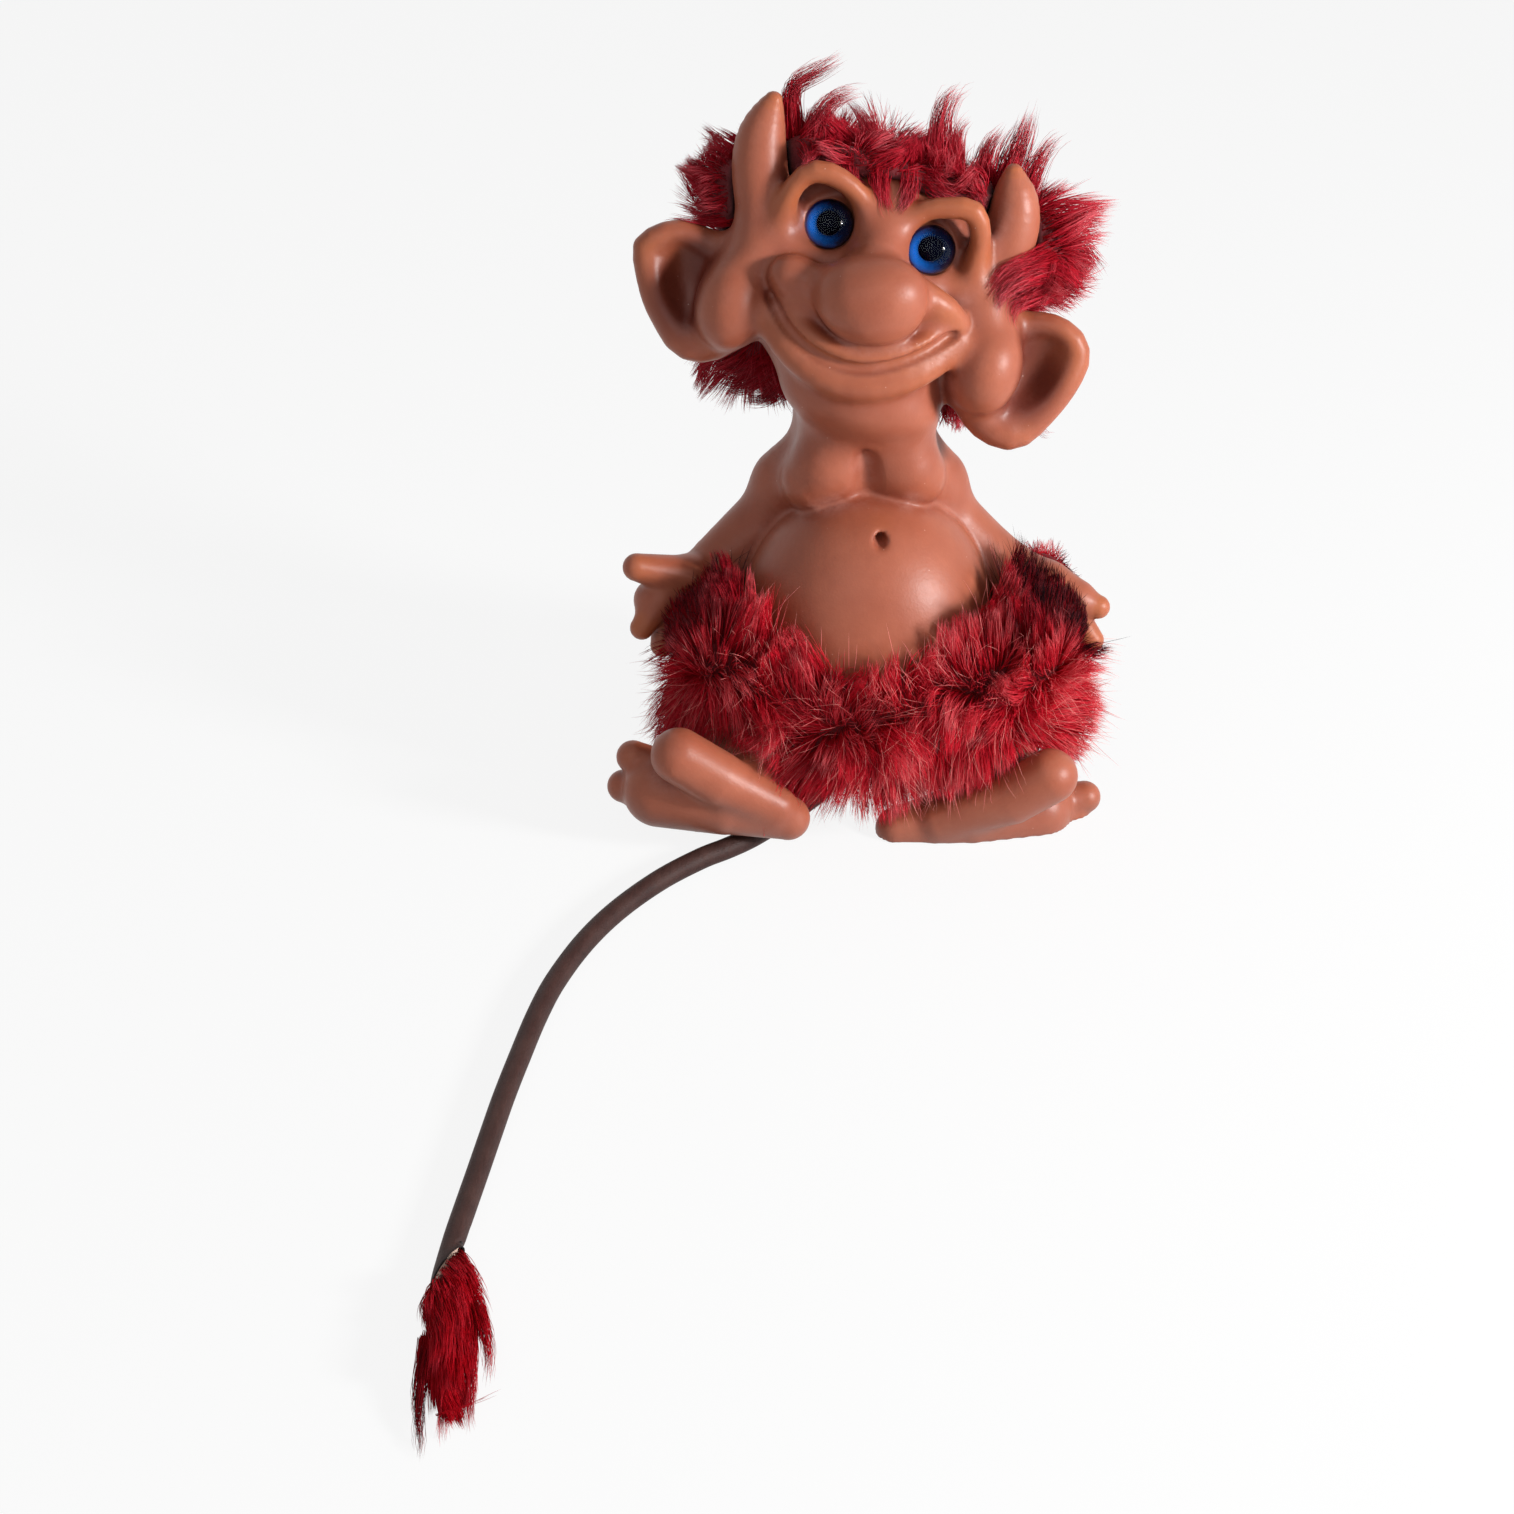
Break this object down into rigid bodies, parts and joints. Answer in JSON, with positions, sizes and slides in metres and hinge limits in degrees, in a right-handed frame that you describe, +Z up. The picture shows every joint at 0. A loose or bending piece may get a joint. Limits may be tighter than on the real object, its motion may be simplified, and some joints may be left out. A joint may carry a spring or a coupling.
{
  "type": "troll figurine",
  "caption": "Seated folk troll of moulded rubber with a fur wig, fur skirt, glass eyes and a long leather tail ending in a fur tuft.",
  "frame": {"origin": "on the surface it sits on, under the middle of the seated figure, with the tail and its tuft left out", "axes": "+Z up, -Y the way the belly and feet face, +X to the right of a person facing the figure"},
  "size_m": [0.1604, 0.2956, 0.185],
  "materials": {
    "skin": "satin painted rubber",
    "eye_glass": "polished",
    "iris_paint": "gloss paint",
    "pupil_paint": "gloss paint",
    "steel_wire": "drawn wire",
    "wig_hair": "dyed woolly fur",
    "dyed_fur": "dyed fur",
    "tail_leather": "smooth dark leather",
    "washer_leather": "raw leather"
  },
  "bodies": {
    "root": {"body_shell": "skin", "left_eye_glass": "eye_glass", "left_eye_iris": "iris_paint", "left_eye_pupil": "pupil_paint", "left_eye_shank": "steel_wire", "right_eye_glass": "eye_glass", "right_eye_iris": "iris_paint", "right_eye_pupil": "pupil_paint", "right_eye_shank": "steel_wire", "wig_pelt": "wig_hair", "skirt_pelt": "dyed_fur", "tail_sheath": "tail_leather", "tail_core": "steel_wire", "tail_washer": "washer_leather", "tail_tuft": "dyed_fur"}
  },
  "joints": []
}
